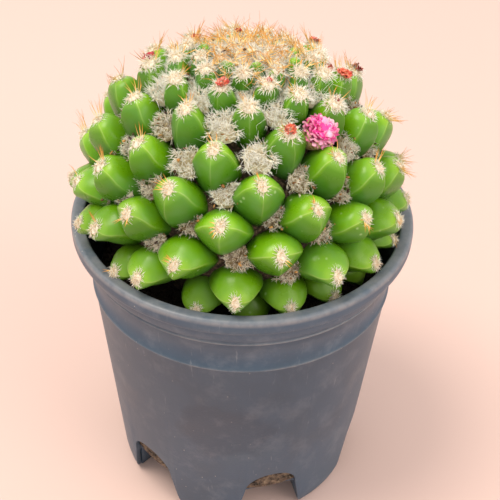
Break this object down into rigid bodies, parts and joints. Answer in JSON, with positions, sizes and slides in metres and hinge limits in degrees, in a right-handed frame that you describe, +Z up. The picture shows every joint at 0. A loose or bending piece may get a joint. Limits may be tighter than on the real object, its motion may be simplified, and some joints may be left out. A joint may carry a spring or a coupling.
{
  "type": "potted round cactus",
  "caption": "Round cactus with blunt green tubercles in spirals, woolly spiny crown and a pink flower, in a round plastic nursery pot with arched feet.",
  "frame": {"origin": "under the middle of the pot, on the surface that its feet stand on", "axes": "+Z up, the pictured front faces -Y"},
  "size_m": [0.12, 0.12, 0.1851],
  "materials": {
    "pot_plastic": "matte moulded polypropylene, dark blue-grey",
    "soil": "dark damp potting soil",
    "cactus_skin": "smooth waxy green skin",
    "wool": "cream wool with amber spines",
    "dry_sepal": "papery tan-olive sepals",
    "petal": "folded magenta petals",
    "bud": "small crimson buds, dry at the tip"
  },
  "bodies": {
    "root": {"pot": "pot_plastic", "soil": "soil", "cactus": "cactus_skin", "crown_wool": "wool", "flower_sepals": "dry_sepal", "flower_petals": "petal", "bud_1": "bud", "bud_2": "bud", "bud_3": "bud", "bud_4": "bud"}
  },
  "joints": []
}
